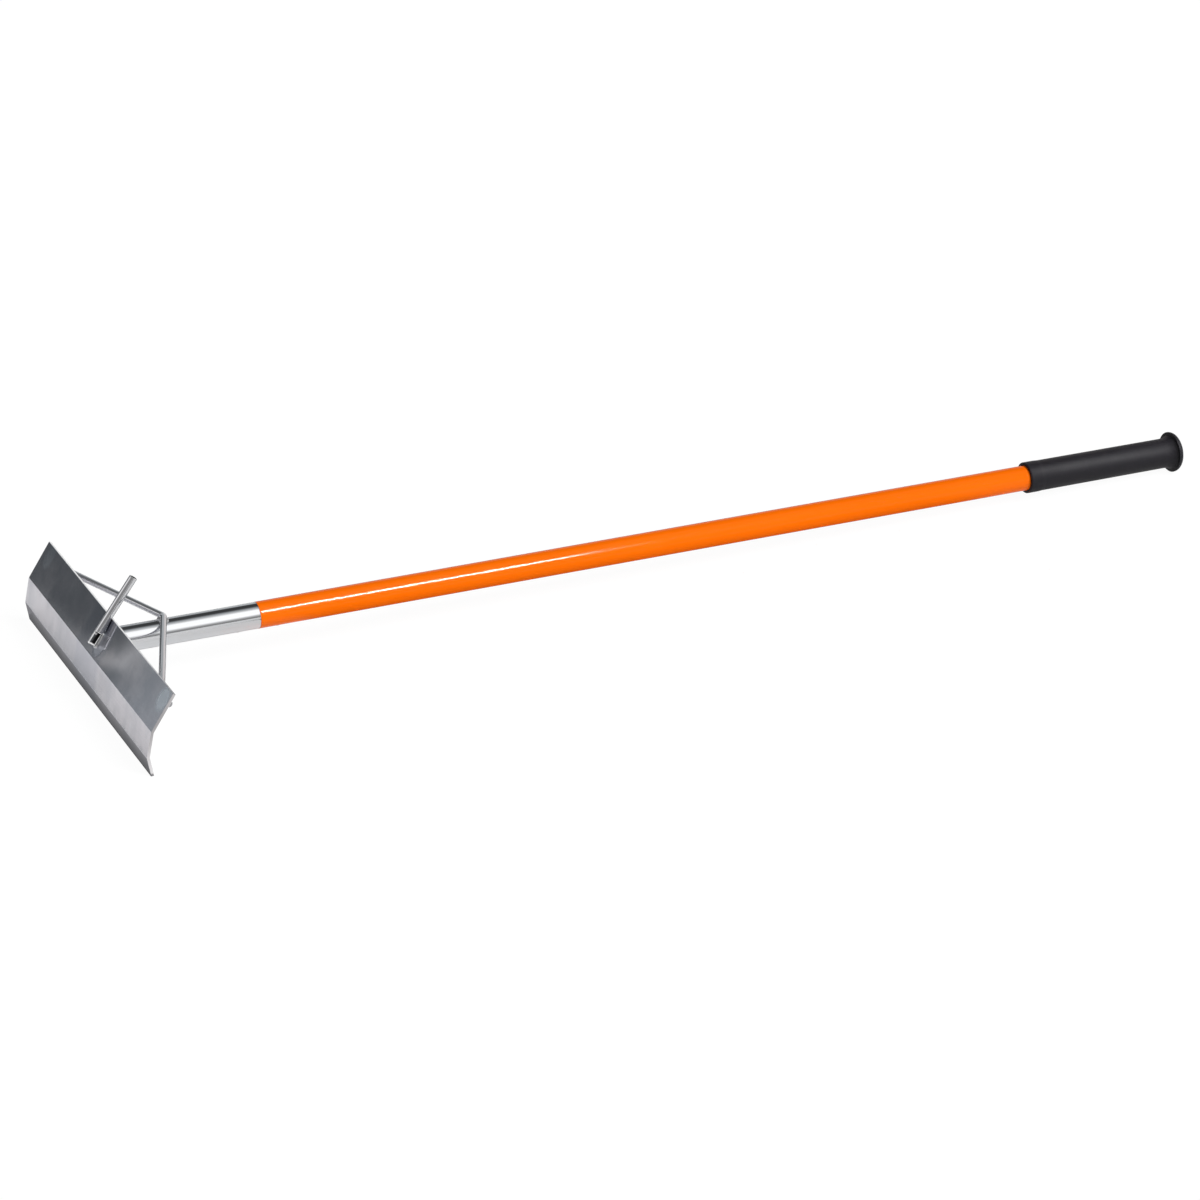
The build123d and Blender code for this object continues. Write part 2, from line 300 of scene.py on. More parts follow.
def plate_finish():
    """Bright rolled plate: cloudy tints, rolling lines, soft waves, dull spots where welds heated it, pale
    patches of heat tint and painted reflection, a painted dark reflection across the middle, a painted
    highlight on the top edge and painted shade at the ground edge.
    """
    cool_grey = (0.60, 0.60, 0.645)
    warm_grey = (0.73, 0.71, 0.75)
    line_grey = (0.50, 0.50, 0.53)
    stain_grey = (0.50, 0.51, 0.55)
    wiped_grey = (0.80, 0.81, 0.85)
    heat_tint_and_reflection = (0.83, 0.90, 0.97)
    painted_middle_reflection = (0.46, 0.48, 0.55)
    painted_edge_highlight = (0.96, 0.96, 0.97)
    painted_edge_shade = (0.40, 0.41, 0.44)
    pale_end = (0.92, 0.91, 0.92)
    painted_ground_shade = (0.07, 0.07, 0.08)
    finish = new_finish("rolled_plate")
    place = finish.place()
    x, _, z = finish.axes(place)
    side = x / MM
    above_ground = z / MM
    height = finish.dot(place, up_strip(top_lean)) / MM - upper_bend.dot(up_strip(top_lean))
    clouds = finish.noise(place, scale=14.0, detail=3.0)
    lines = finish.noise(finish.stretched(place, (5.0, 500.0, 500.0)), detail=3.0, roughness=0.6)
    stains = finish.noise(finish.stretched(place, (1.0, 0.6, 0.6)), scale=52.0, detail=3.0, roughness=0.55)
    base = finish.mix(clouds.ease(0.35, 0.65), cool_grey, warm_grey)
    base = finish.mix(lines.ease(0.35, 0.8) * 0.25, base, line_grey)
    base = finish.mix(stains.ease(0.48, 0.72) * 0.4, base, stain_grey)
    base = finish.mix(stains.ease(0.46, 0.28) * 0.3, base, wiped_grey)
    # The pale spots are partly heat tint from the welds and partly painted reflection, strongest at the
    # right end
    heat_and_reflection = 0.0
    dull = 0.0
    spots = (
        (235.0, brace_foot_height + 2.0, 17.0, 19.0, 0.95, 0.18),
        (-226.0, brace_foot_height + 2.0, 14.0, 18.0, 0.3, 0.06),
        (hook_side + 8.0, hook_foot_height + 7.0, 15.0, 20.0, 0.3, 0.24),
    )
    for middle, level, half_wide, half_high, share, haze in spots:
        wide = (side - middle) / half_wide
        high = (height - level) / half_high
        edge = wide ** 2 + high ** 2 + clouds * 0.8
        inside = 1 - edge.ease(0.8, 1.6)
        heat_and_reflection = inside * share + heat_and_reflection
        dull = inside * haze + dull
    base = finish.mix(heat_and_reflection, base, heat_tint_and_reflection)
    # Painted dark reflection: a darker band across the middle of the plate
    base = finish.mix((1 - abs(side).ease(36, 50)) * 0.5, base, painted_middle_reflection)
    # Painted highlight along the top edge, turning to painted shade towards the right end
    rim = finish.mix(side.ease(90, 210), painted_edge_highlight, painted_edge_shade)
    base = finish.mix(height.ease(top_height - 0.5, top_height - 0.1), base, rim)
    from_end = blade_length / 2 - abs(side)
    base = finish.mix(from_end.ease(0.3, 0.1), base, pale_end)
    # Painted shade along the ground edge, darkest at the bottom
    base = finish.mix(above_ground.ease(5.2, 2.2) * 0.7, base, painted_ground_shade)
    roughness = 0.085 + clouds.ease(0.3, 0.7) * 0.03 + lines * 0.02 + dull
    waves = finish.noise(place, scale=6.0, detail=0.0)
    normal = finish.bump(waves * (1.2 * MM) + lines * (0.0015 * MM))
    return metal(finish, base, roughness, normal)


def drawn_look(finish):
    """Base colour, roughness and normal of bright drawn metal: fine lines along it, a few dull patches."""
    bright_grey = (0.70, 0.71, 0.725)
    line_grey = (0.56, 0.565, 0.58)
    along_around = finish.along_and_around()
    lines = finish.noise(finish.stretched(along_around, (8.0, 1400.0, 1.0)), detail=3.0, roughness=0.6)
    patches = finish.noise(finish.place(), scale=28.0, detail=3.0)
    base = finish.mix(lines.ease(0.3, 0.8) * 0.35, bright_grey, line_grey)
    roughness = 0.075 + lines * 0.03 + patches.ease(0.4, 0.8) * 0.02
    return base, roughness, finish.bump(lines * (0.0004 * MM) + patches * (0.006 * MM))


def drawn_finish():
    """Drawn tube and rod."""
    finish = new_finish("drawn_metal")
    return metal(finish, *drawn_look(finish))


def hook_finish():
    """Drawn tube with painted shade inside its bore, darkest towards the blade, with bright cut faces and a
    bright drop of weld.
    """
    sawn_white = (0.97, 0.97, 0.97)
    painted_bore_shade_light = (0.30, 0.31, 0.33)
    painted_bore_shade_dark = (0.03, 0.03, 0.033)
    finish = new_finish("hook_metal")
    base, roughness, normal = drawn_look(finish)
    foot, up, inward = hook_frame()
    place = finish.place()
    side, depth, height = (finish.dot(place, way) / MM - foot.dot(way) for way in (across, inward, up))
    radius = (side * side + depth * depth) ** 0.5
    from_drop = (height - drop_height, depth - drop_depth, side + drop_sink)
    drop = sum(offset * offset for offset in from_drop) ** 0.5
    inside = 1 - radius.ease(hook_radius - 0.4, hook_radius - 0.1)
    burr = side.ease(opening_face - 1.5, opening_face - 0.7)
    below_top = 1 - height.ease(opening_length + 0.5, opening_length + 1.0)
    cut = inside.larger(burr) * below_top
    past_foot = height.ease(foot_wall - 0.1, foot_wall + 0.3)
    in_bore = (1 - radius.ease(hook_bore + 0.05, hook_bore + 0.25)) * past_foot
    shaded_bore = in_bore * drop.ease(drop_radius, drop_radius + 0.2)
    sawn = (cut - shaded_bore).larger(0.0)
    # Painted shade inside the bore, darkest towards the blade
    darkening = finish.mix(depth.ease(-1.0, 2.5), painted_bore_shade_light, painted_bore_shade_dark)
    base = finish.mix(shaded_bore, finish.mix(cut, base, sawn_white), darkening)
    return metal(finish, base, roughness + (sawn + shaded_bore) * 0.3, normal, 1 - sawn * 0.95)


def weld_finish():
    """Weld bead: bright metal with a fine grain and sooty patches."""
    bead_grey = (0.66, 0.665, 0.675)
    soot_grey = (0.42, 0.41, 0.40)
    finish = new_finish("weld_bead")
    place = finish.place()
    grains = finish.noise(place, scale=900.0)
    darkening = finish.noise(place, scale=160.0)
    base = finish.mix(darkening.ease(0.45, 0.75), bead_grey, soot_grey)
    roughness = 0.2 + darkening * 0.16 + grains * 0.06
    return metal(finish, base, roughness, finish.bump(grains * (0.03 * MM)))


def hidden_metal_finish():
    """Sawn inner tubes: dull, with turning marks."""
    sawn_grey = (0.62, 0.625, 0.635)
    mark_grey = (0.50, 0.50, 0.51)
    finish = new_finish("inner_metal")
    place = finish.place()
    marks = finish.noise(finish.stretched(place, (60.0, 900.0, 60.0)))
    base = finish.mix(marks, sawn_grey, mark_grey)
    return metal(finish, base, 0.28 + marks * 0.15, finish.bump(marks * (0.01 * MM)))


def rivet_finish():
    """Pressed rivet heads: satin, with small dull spots."""
    satin_grey = (0.66, 0.665, 0.67)
    spot_grey = (0.48, 0.48, 0.48)
    finish = new_finish("rivet_metal")
    spots = finish.noise(finish.place(), scale=700.0, detail=3.0)
    base = finish.mix(spots.ease(0.5, 0.8), satin_grey, spot_grey)
    return metal(finish, base, 0.22 + spots * 0.2, finish.bump(spots * (0.02 * MM)))


def mandrel_finish():
    """Broken steel pins: grey and grainy."""
    steel_grey = (0.46, 0.46, 0.47)
    grain_grey = (0.30, 0.30, 0.31)
    finish = new_finish("mandrel_steel")
    grains = finish.noise(finish.place(), scale=1600.0, detail=3.0)
    base = finish.mix(grains, steel_grey, grain_grey)
    return metal(finish, base, 0.35 + grains * 0.2, finish.bump(grains * (0.04 * MM)))


def orange_finish():
    """Glossy orange sleeve: a slight orange peel and thin scuffs along it."""
    deep_orange = (0.90, 0.146, 0.0006)
    light_orange = (0.95, 0.158, 0.0010)
    scuffed_orange = (0.82, 0.18, 0.015)
    finish = new_finish("gloss_orange")
    place = finish.place()
    peel = finish.noise(place, scale=420.0, detail=1.0)
    scuffs = finish.noise(finish.stretched(place, (260.0, 9.0, 260.0)), detail=3.0, roughness=0.6)
    clouds = finish.noise(place, scale=6.0)
    tint = finish.mix(clouds, deep_orange, light_orange)
    base = finish.mix(scuffs.ease(0.62, 0.8) * 0.12, tint, scuffed_orange)
    sockets = {
        "Base Color": base,
        "Roughness": 0.10 + scuffs.ease(0.55, 0.8) * 0.12,
        "Specular IOR Level": 0.12,
        "Normal": finish.bump(peel * (0.012 * MM)),
    }
    return finish.show(finish.node("ShaderNodeBsdfPrincipled", None, sockets))


def grip_finish():
    """Black rubber: fine moulded grain, smooth handled stretches, a trace of dust."""
    rubber_black = (0.0105, 0.0097, 0.0125)
    dusty_black = (0.021, 0.0196, 0.0243)
    finish = new_finish("black_rubber")
    place = finish.place()
    grain = finish.noise(place, scale=1500.0)
    smears = finish.noise(finish.stretched(place, (30.0, 12.0, 30.0)), detail=3.0)
    dust = finish.noise(place, scale=90.0, detail=4.0, roughness=0.7)
    base = finish.mix(dust.ease(0.5, 0.85) * 0.5, rubber_black, dusty_black)
    sockets = {
        "Base Color": base,
        "Roughness": 0.44 + smears.ease(0.3, 0.7) * 0.14 + grain * 0.06,
        "Specular IOR Level": 0.25,
        "Normal": finish.bump(grain * (0.03 * MM)),
    }
    return finish.show(finish.node("ShaderNodeBsdfPrincipled", None, sockets))


def rounded(corners, steps):
    """Outline through corners (x, y, radius), each turned by an arc of that radius."""
    outline = []
    last = len(corners) - 1
    for i, (x, y, radius) in enumerate(corners):
        here = Vector((x, y))
        if not radius or i in (0, last):
            outline.append(here)
            continue
        back = (Vector(corners[i - 1][:2]) - here).normalized()
        on = (Vector(corners[i + 1][:2]) - here).normalized()
        half = back.angle(on) / 2
        centre = here + (back + on).normalized() * radius / sin(half)
        first = here + back * (radius * cos(half) / sin(half))
        turn = (pi - 2 * half) * (1 if back.cross(on) < 0 else -1)
        spoke = first - centre
        for step in range(steps + 1):
            angle = turn * step / steps
            turned_spoke = Vector((
                spoke.x * cos(angle) - spoke.y * sin(angle),
                spoke.x * sin(angle) + spoke.y * cos(angle),
            ))
            outline.append(centre + turned_spoke)
    return outline


def supported(outline):
    """Outline with points near the ends of its long runs, which keep smooth shading true along them."""
    margin = 1.0
    full = [outline[0]]
    for here, on in zip(outline, outline[1:]):
        run = on - here
        if run.length > 4 * margin:
            step = run.normalized() * margin
            full += [here + step, on - step]
        full.append(on)
    return full


def skin(rings, loop=False, caps=False):
    """Points, faces and grain places of a skin over rings of equally many points."""
    count = len(rings[0])
    points = [point for ring in rings for point in ring]
    faces = []
    places = []
    reach = [0.0]
    for before, after in zip(rings, rings[1:] + rings[:1]):
        middle_before = sum(before, Vector()) / count
        middle_after = sum(after, Vector()) / count
        reach.append(reach[-1] + (middle_after - middle_before).length)
    girths = [sum((on - here).length for here, on in zip(ring, ring[1:] + ring[:1])) for ring in rings]
    girth = max(girths)
    spans = len(rings) if loop else len(rings) - 1
    for i in range(spans):
        this_ring = i * count
        next_ring = (i + 1) % len(rings) * count
        near, far = reach[i:i + 2]
        for j in range(count):
            beside = (j + 1) % count
            faces.append((this_ring + j, this_ring + beside, next_ring + beside, next_ring + j))
            left = girth * j / count
            right = girth * (j + 1) / count
            places.append(((near, left), (near, right), (far, right), (far, left)))
    if caps:
        first = tuple(reversed(range(count)))
        final = tuple(range((len(rings) - 1) * count, len(rings) * count))
        for cap in (first, final):
            faces.append(cap)
            places.append(tuple((points[corner].x, points[corner].z) for corner in cap))
    return points, faces, places


def piece(name, parts, finish, slot, *nodes):
    """Mesh piece in metres from skins in millimetres, riding on the part in place of its CAD nodes."""
    points = []
    faces = []
    places = []
    for more_points, more_faces, more_places in parts:
        faces += [tuple(corner + len(points) for corner in face) for face in more_faces]
        points += more_points
        places += more_places
    mesh = bpy.data.meshes.new(name)
    mesh.from_pydata([point * MM for point in points], [], faces)
    grain = mesh.uv_layers.new(name="grain")
    corners = [Vector(corner) * MM for face in places for corner in face]
    grain.data.foreach_set("uv", [number for corner in corners for number in corner])
    joined = bmesh.new()
    joined.from_mesh(mesh)
    bmesh.ops.remove_doubles(joined, verts=joined.verts, dist=1e-7)
    bmesh.ops.recalc_face_normals(joined, faces=joined.faces)
    joined.to_mesh(mesh)
    joined.free()
    mesh.shade_smooth()
    mesh.set_sharp_from_angle(angle=radians(sharp_edge))
    mesh.materials.append(finish)
    made = bpy.data.objects.new(name, mesh)
    bpy.context.scene.collection.objects.link(made)
    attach(made, "root")
    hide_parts(*nodes)
    return made


def turned(profile, segments):
    """Rings about the handle's axis through (reach, radius); a reach may depend on the way out."""
    rings = []
    for reach, radius in profile:
        ring = []
        for i in range(segments):
            angle = 2 * pi * i / segments
            out = (across * cos(angle) + above * sin(angle)) * radius
            ring.append(handle_entry + out + along * (reach(out) if callable(reach) else reach))
        rings.append(ring)
    return rings


def evenly(start, end, spacing):
    """Numbers from start to end at about this spacing."""
    count = max(1, ceil(abs(end - start) / spacing))
    return [start + (end - start) * i / count for i in range(count + 1)]


def blade_back_reach(out):
    """Reach at which a line along the tube meets the back of the blade."""
    reaches = []
    for foot, lean in ((upper_bend, top_lean), (lower_bend, middle_lean)):
        facing = out_of_strip(lean)
        back = foot - facing * (plate + touch)
        reaches.append((back - handle_entry - out).dot(facing) / along.dot(facing))
    return max(reaches)


def socket_tube_piece(finish):
    """Bare tube, cut to the blade's back, its outer end turned round."""
    clear_of_weld = 60.0
    corners = (
        (clear_of_weld, tube_radius, 0),
        (socket_reach, tube_radius, tube_end_round),
        (socket_reach, tube_bore, tube_end_round),
        (clear_of_weld, tube_bore, 0),
    )
    profile = supported(rounded(corners, steps=4))
    profile = [(blade_back_reach, tube_radius), *profile, (blade_back_reach, tube_bore)]
    parts = [skin(turned(profile, tube_segments), loop=True)]
    return piece("socket_tube_drawn", parts, finish, "bare_tube", "socket_tube")


def sleeve_piece(finish):
    """Orange sleeve: its edge at the joint is turned in a hair."""
    end = grip_end - grip_end_wall - touch
    corners = (
        (end, sleeve_bore, 0),
        (end, sleeve_radius, 0),
        (socket_reach, sleeve_radius, sleeve_end_round),
        (socket_reach, sleeve_bore, 0),
    )
    profile = supported(rounded(corners, steps=4))
    parts = [skin(turned(profile, smooth_segments), loop=True)]
    return piece("handle_sleeve_gloss", parts, finish, "orange_sleeve", "handle_sleeve")


def grip_piece(finish):
    """Rubber grip: rolled mouth, collar, body, trumpet and a round-backed disc."""
    collar_radius = grip_radius + collar_rise
    collar_end = grip_start + collar_length
    bore_end = grip_end - grip_end_wall
    trumpet_start = flare_start - trumpet_length
    trumpet_foot = grip_radius - grip_taper
    rise = trumpet_rise + grip_taper
    sweep = (trumpet_length ** 2 + rise ** 2) / (2 * rise)
    outline = rounded([
        (bore_end, 0.0, 0),
        (bore_end, grip_bore, bore_end_round),
        (grip_start, grip_bore, bore_mouth_round),
        (grip_start, collar_radius, mouth_round),
        (collar_end, collar_radius, collar_round),
        (collar_end + collar_step, grip_radius, collar_step_round),
        (trumpet_start, trumpet_foot, 0),
    ], steps=8)
    for reach in evenly(trumpet_start, flare_start, 1.0)[1:]:
        swell = sweep - sqrt(sweep ** 2 - (reach - trumpet_start) ** 2)
        outline.append(Vector((reach, trumpet_foot + swell)))
    disc = rounded([
        (flare_start, grip_radius + trumpet_rise, 0),
        (flare_start, flare_radius, flare_edge_round),
        (grip_end, flare_radius, flare_round),
        (grip_end, 0.0, 0),
    ], steps=14)
    outline += disc[1:]
    parts = [skin(turned(supported(outline), smooth_segments), loop=True)]
    return piece("grip_rubber", parts, finish, "black_grip", "grip")


def brace_places():
    """Line of the brace's feet in the middle of the blade, and the run from there to its crossing."""
    crossing = on_handle(brace_apex_reach, tube_radius + rod_radius + touch)
    foot = on_top_strip(0, brace_foot_height, -plate - rod_radius - touch)
    return foot, crossing - foot


def brace_rod_piece(finish):
    """Round rod bent in one plane, its cut ends chamfered."""
    foot, run = brace_places()
    leg = run.normalized()
    side = across.cross(leg)
    outline = supported(rounded([
        (-foot_end, 0, 0),
        (-foot_bend, 0, brace_bend_radius),
        (0, run.length, brace_bend_radius),
        (foot_bend, 0, brace_bend_radius),
        (foot_end, 0, 0),
    ], steps=14))
    stations = []
    for i, here in enumerate(outline):
        before = outline[max(i - 1, 0)]
        after = outline[min(i + 1, len(outline) - 1)]
        stations.append((here, (after - before).normalized(), rod_radius))
    for end, inward in ((0, 1), (-1, -1)):
        here, heading, radius = stations[end]
        inner = (here + heading * rod_end_chamfer * inward, heading, radius)
        stations[end] = (here, heading, radius - rod_end_chamfer)
        stations.insert(1 if end == 0 else len(stations) - 1, inner)
    angles = [2 * pi * i / rod_segments for i in range(rod_segments)]
    rings = []
    for here, heading, radius in stations:
        centre = foot + across * here.x + leg * here.y
        normal = across * -heading.y + leg * heading.x
        rings.append([centre + (normal * cos(angle) + side * sin(angle)) * radius for angle in angles])
    return piece("brace_rod_bent", [skin(rings, caps=True)], finish, "bare_tube", "brace_rod")


def smooth(value, start, end):
    """0 at start, 1 at end, smooth between."""
    share = min(max((value - start) / (end - start), 0.0), 1.0)
    return share * share * (3 - 2 * share)


def hook_frame():
    """Foot of the hook, its direction, and the direction from its axis into the blade."""
    foot = on_top_strip(hook_side, hook_foot_height, hook_radius + hook_foot_gap)
    rest = on_top_strip(hook_side, top_height, hook_radius + touch)
    up = (rest - foot).normalized()
    return foot, up, up.cross(across)


def opening_reach(height, depth, side):
    """How far to the side the hook's skin reaches where its lower end is cut open along the bore."""
    hollow = -sqrt(max(hook_bore ** 2 - depth ** 2, 0.0))
    share = smooth(hook_bore - abs(depth), -0.1, 0.1) * smooth(height, foot_wall - 0.2, foot_wall + 0.3)
    floor = opening_face + (hollow - opening_face) * share
    from_drop = hypot(height - drop_height, depth - drop_depth)
    if from_drop < drop_radius:
        floor = max(floor, sqrt(drop_radius ** 2 - from_drop ** 2) - drop_sink)
    return side + (min(side, floor) - side) * smooth(opening_length - height, -0.25, 0.25)


def hook_tube_piece(finish):
    """Hook tube, its lower end cut open on the right, with a drop of weld at the opening's top."""
    foot, up, inward = hook_frame()
    past_opening = opening_length + 1.0
    rim_start = hook_length - 2.0

    def ring(height, radius, opened=False):
        points = []
        for i in range(hook_segments):
            angle = 2 * pi * i / hook_segments
            side = radius * cos(angle)
            depth = radius * sin(angle)
            if opened and side > 0:
                side = opening_reach(height, depth, side)
            points.append(foot + up * height + across * side + inward * depth)
        return points

    heights = evenly(ring_step, past_opening, ring_step)
    rings = [ring(0.0, hook_radius - foot_chamfer, opened=True)]
    rings += [ring(height, hook_radius, opened=True) for height in heights]
    rim = rounded([
        (rim_start, hook_radius, 0),
        (hook_length, hook_radius, hook_rim_round),
        (hook_length, hook_bore, hook_rim_round),
        (rim_start, hook_bore, 0),
    ], steps=5)
    rings += [ring(height, radius) for height, radius in rim]
    rings.append(ring(past_opening, hook_bore))
    return piece("hook_tube_opened", [skin(rings, caps=True)], finish, "bare_tube", "hook_tube")


def bead(stations, radius, pitch, loop=False, squat=0.75, ripples=0.13):
    """Skin of a rippled weld bead along stations (point, up out of the joint); ripples lag at its sides."""
    lag_share = 0.55
    length = [0.0]
    for (before, _), (after, _) in zip(stations, stations[1:]):
        length.append(length[-1] + (after - before).length)
    if loop:
        total = length[-1] + (stations[0][0] - stations[-1][0]).length
        pitch = total / round(total / pitch)
    rings = []
    count = len(stations)
    for i, (here, up) in enumerate(stations):
        before = stations[i - 1][0] if loop else stations[max(i - 1, 0)][0]
        after = stations[(i + 1) % count][0] if loop else stations[min(i + 1, count - 1)][0]
        heading = (after - before).normalized()
        side = heading.cross(up).normalized()
        end = 1.0
        if not loop:
            from_end = min(length[i], length[-1] - length[i]) / radius
            end = sqrt(max(1 - (1 - min(from_end, 1.0)) ** 2, 0.02))
        ring = []
        for j in range(bead_segments):
            angle = 2 * pi * j / bead_segments
            lag = lag_share * pitch * (1 - max(sin(angle), 0.0))
            wave = ((length[i] - lag) / pitch) % 1.0
            crest = wave ** 0.6 * (1 - wave) * 3.1
            ripple = 1 + ripples * (crest - 0.6)
            reach = radius * end * ripple
            ring.append(here + side * cos(angle) * reach + up * sin(angle) * reach * squat)
        rings.append(ring)
    return skin(rings, loop=loop, caps=not loop)


def socket_weld_piece(finish):
    """Rippled fillet right round the tube, on both strips of the blade's back."""
    count = 360
    sunk_radius = tube_radius - socket_bead_sink
    stations = []
    for i in range(count):
        angle = 2 * pi * i / count
        out = across * cos(angle) + above * sin(angle)
        reach = blade_back_reach(out * tube_radius) + socket_bead_sink
        foot = handle_entry + out * sunk_radius + along * reach
        stations.append((foot, (out + along).normalized()))
    parts = [bead(stations, socket_bead_radius, socket_bead_pitch, loop=True, squat=0.85)]
    return piece("socket_weld_bead", parts, finish, "weld", "socket_weld")


def apex_weld_piece(finish):
    """Two short beads where the brace crosses the tube, one before it and one behind."""
    _, run = brace_places()
    leg_angle = atan2(run.length, foot_bend)
    reach = brace_apex_reach - brace_bend_radius * (1 / cos(leg_angle) - 1)
    half = apex_bead_length / 2
    beads = []
    for side in (-1, 1):
        middle = on_handle(reach + side * rod_radius * 0.95, tube_radius + apex_bead_lift)
        up = (above * 0.8 + along * side * 0.6).normalized()
        stations = []
        for offset in evenly(-half, half, ring_step):
            drop = tube_radius - sqrt(tube_radius ** 2 - offset ** 2)
            bow = offset ** 2 / (2 * brace_bend_radius)
            point = middle + across * offset - above * drop - along * bow * 0.5
            stations.append((point, up))
        beads.append(bead(stations, apex_bead_radius, apex_bead_pitch))
    return piece("brace_apex_beads", beads, finish, "weld", "brace_apex_weld")


def foot_weld_piece(finish, side, hand):
    """Beads above and below one foot of the brace, on the blade's back."""
    middle_side = side * (foot_bend + foot_end) / 2
    back = out_of_strip(top_lean) * -1
    half = foot_bead_length / 2
    beads = []
    for edge in (-1, 1):
        middle = on_top_strip(middle_side, brace_foot_height + edge * rod_radius, -plate - foot_bead_lift)
        up = (back + up_strip(top_lean) * edge).normalized()
        stations = [(middle + across * offset, up) for offset in evenly(-half, half, ring_step)]
        beads.append(bead(stations, foot_bead_radius, fine_pitch))
    return piece(f"brace_foot_beads_{hand}", beads, finish, "weld", f"brace_foot_weld_{hand}")


def hook_weld_piece(finish):
    """Bead right round the hook's foot, between the tube and the blade."""
    width = hook_radius - hook_bead_radius
    half = hook_weld_length / 2 - hook_bead_radius - width
    middle = hook_foot_height - hook_weld_leg + hook_weld_length / 2
    outline = []
    for start, spread in ((0.0, half), (pi, -half)):
        for angle in evenly(start, start + pi, pi / 36):
            outward = Vector((cos(angle), sin(angle)))
            outline.append((Vector((0, spread)) + outward * width, outward))
        # The straight side goes on in the arc's last direction
        for offset in evenly(spread, -spread, ring_step)[1:-1]:
            outline.append((outward * width + Vector((0, offset)), outward))
    stations = []
    for spot, outward in outline:
        point = on_top_strip(hook_side + spot.x, middle + spot.y, hook_bead_lift)
        flat = across * outward.x + up_strip(top_lean) * outward.y
        stations.append((point, (flat + out_of_strip(top_lean)).normalized()))
    parts = [bead(stations, hook_bead_radius, fine_pitch, loop=True, squat=0.9, ripples=0.05)]
    return piece("hook_weld_bead", parts, finish, "weld", "hook_weld")


def dress_rake():
    """All pieces in their finishes; gives back the two that have lights of their own."""
    plate_metal = plate_finish()
    drawn_metal = drawn_finish()
    weld_metal = weld_finish()
    inner_metal = hidden_metal_finish()
    socket_tube_piece(drawn_metal)
    brace_rod_piece(drawn_metal)
    hook_tube_piece(hook_finish())
    sleeve = sleeve_piece(orange_finish())
    grip = grip_piece(grip_finish())
    socket_weld_piece(weld_metal)
    apex_weld_piece(weld_metal)
    foot_weld_piece(weld_metal, -1, "left")
    foot_weld_piece(weld_metal, 1, "right")
    hook_weld_piece(weld_metal)
    kept = {
        "blade": plate_metal,
        "handle_tube": inner_metal,
        "joint_spigot": inner_metal,
        "joint_rivets": rivet_finish(),
        "rivet_mandrels": mandrel_finish(),
    }
    for node, finish in kept.items():
        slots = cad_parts[node].data.materials
        slots.clear()
        slots.append(finish)
    return sleeve, grip


# Studio, with lengths in metres and angles in degrees
white = (1.0, 1.0, 1.0)
flag_white = (1.0, 0.98, 0.985)
room_light = 0.12
sun_strength = 3.34
sun_spread = 34.0
sun_from = Vector((0.60, 0.43, 0.68))
floor_colour = 0.9
floor_glow = 1.034
floor_glow_share = 0.93
floor_mirror_share = 0.08
floor_half = 20.0
handle_level = 0.06
softbox_distance = 1.6
flagged_distance = 1.5
ceiling_distance = 3.0
standing_distance = 3.0
strip_strength = 170.0
grip_fill_strength = 9.0


def stage_sheet(name, rows, finish):
    """Stage surface over rows of points in metres."""
    count = len(rows[0])
    faces = []
    for i in range(len(rows) - 1):
        for j in range(count - 1):
            first = i * count + j
            faces.append((first, first + 1, first + count + 1, first + count))
    mesh = bpy.data.meshes.new(name)
    mesh.from_pydata([point for row in rows for point in row], [], faces)
    mesh.materials.append(finish)
    made = bpy.data.objects.new(name, mesh)
    bpy.context.scene.collection.objects.link(made)
    return made


def reflected_only(card):
    """A card that is seen only in gloss: it lights and shades nothing else."""
    card.visible_camera = False
    card.visible_diffuse = False
    card.visible_shadow = False
    card.visible_transmission = False
    card.visible_volume_scatter = False


def seen_rays(finish):
    """1 for rays that show the background (camera, gloss and glass), and 1 for camera rays alone."""
    rays = [finish.node("ShaderNodeLightPath", out=name)
            for name in ("Is Camera Ray", "Is Glossy Ray", "Is Transmission Ray")]
    return rays[0].larger(rays[1]).larger(rays[2]), rays[0]


def light_world():
    """White to the eye and in mirrors, dim as a light."""
    world = bpy.data.worlds.new("studio_world")
    bpy.context.scene.world = world
    finish = Finish(world)
    seen, _ = seen_rays(finish)
    strength = room_light + seen * (1 - room_light)
    shine = finish.node("ShaderNodeBackground", None, {"Color": colour(white), "Strength": strength})
    finish.node("ShaderNodeOutputWorld", None, {"Surface": shine})
    world.cycles.sampling_method = "NONE"


def lay_floor():
    """White floor that keeps a soft shadow, clear from below."""
    finish = new_finish("pale_floor")
    seen, camera = seen_rays(finish)
    paint = colour((floor_colour, floor_colour, floor_colour))
    matt = finish.node("ShaderNodeBsdfDiffuse", None, {"Color": paint})
    glow = finish.node("ShaderNodeEmission", None, {"Color": colour(white), "Strength": floor_glow})
    share = seen * floor_mirror_share + camera * (floor_glow_share - floor_mirror_share)
    lit = finish.node("ShaderNodeMixShader", None, {0: share, 1: matt, 2: glow})
    underside = finish.node("ShaderNodeNewGeometry", out="Backfacing")
    clear = finish.node("ShaderNodeBsdfTransparent")
    finish.show(finish.node("ShaderNodeMixShader", None, {0: underside, 1: lit, 2: clear}))
    ends = (-floor_half, floor_half)
    stage_sheet("floor", [[Vector((x, y, 0.0)) for x in ends] for y in ends], finish.owner)


def glowing(finish, tint, tone=None):
    """Surface that gives off a tint, as strongly as its tone says."""
    shown = colour(tint) if tone is None else finish.stretched(tone, tint)
    finish.show(finish.node("ShaderNodeEmission", None, {"Color": shown}))


def angle_round(finish, rise, run):
    """Angle of a point round an axis, in degrees."""
    return finish.node("ShaderNodeMath", {"operation": "ARCTAN2"}, {0: rise, 1: run}) * (180 / pi)


